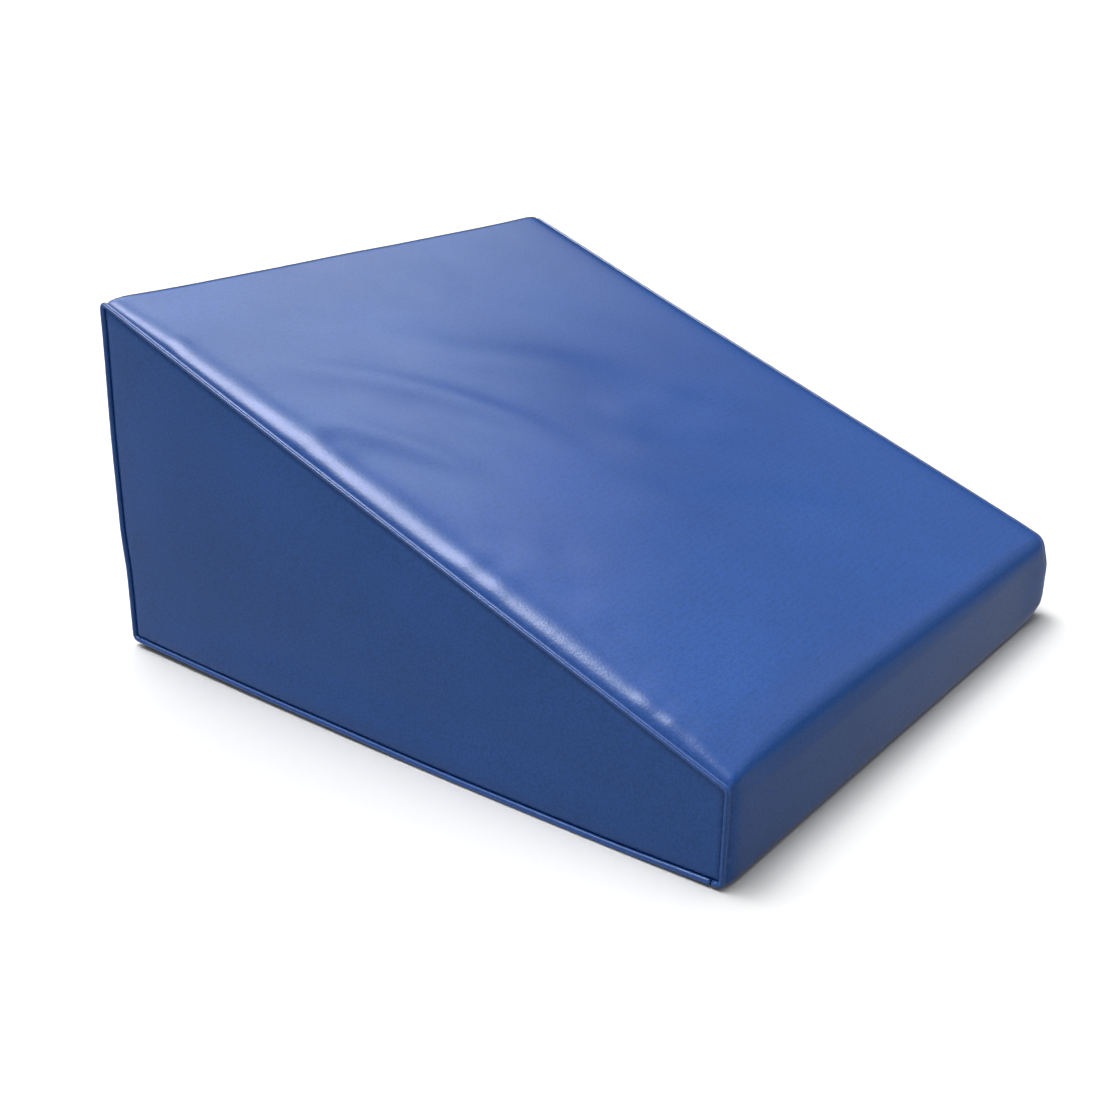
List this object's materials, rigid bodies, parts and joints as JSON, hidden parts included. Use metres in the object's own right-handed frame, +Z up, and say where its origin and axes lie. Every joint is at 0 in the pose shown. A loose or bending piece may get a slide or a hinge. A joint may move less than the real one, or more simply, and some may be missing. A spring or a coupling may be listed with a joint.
{
  "type": "incline wedge mat",
  "caption": "Foam incline wedge mat in a sewn vinyl cover with corded edge welts, a grippy base and a zip across the back.",
  "frame": {"origin": "middle of the base, on the floor", "axes": "+X across the mat, +Y from the low front face to the high back face, +Z up"},
  "size_m": [0.5732, 0.6059, 0.2975],
  "materials": {
    "cover_vinyl": "satin",
    "foam": "matte",
    "grip_base": "matte",
    "welt_filler": "matte",
    "zip_tape": "matte",
    "zip_teeth": "satin",
    "zip_metal": "satin"
  },
  "bodies": {
    "cover": {"foam_core": "foam", "wrap_panel": "cover_vinyl", "back_lower_panel": "cover_vinyl", "base_panel": "grip_base", "left_side_panel": "cover_vinyl", "right_side_panel": "cover_vinyl", "zip_bottom_stop": "zip_metal", "left_wrap_welt": "cover_vinyl", "left_wrap_welt_cord": "welt_filler", "left_base_welt": "cover_vinyl", "left_base_welt_cord": "welt_filler", "right_wrap_welt": "cover_vinyl", "right_wrap_welt_cord": "welt_filler", "right_base_welt": "cover_vinyl", "right_base_welt_cord": "welt_filler", "zip_upper_tape": "zip_tape", "zip_upper_teeth": "zip_teeth", "zip_upper_stop": "zip_metal", "zip_lower_tape": "zip_tape", "zip_lower_teeth": "zip_teeth", "zip_lower_stop": "zip_metal"},
    "slider": {"zip_slider": "zip_metal"},
    "pull": {"zip_pull": "zip_metal"}
  },
  "joints": [
    {"name": "zip_travel", "type": "slide", "parent": "cover", "child": "slider", "axis": [-1, 0, 0], "range_m": [0, 0.51], "deforming": ["zip_upper_teeth", "zip_lower_teeth"]},
    {"name": "pull_swing", "type": "hinge", "parent": "slider", "child": "pull", "pos_m": [0.256, 0.3023, 0.045], "axis": [0, 0, -1], "range_deg": [0, 180]}
  ]
}
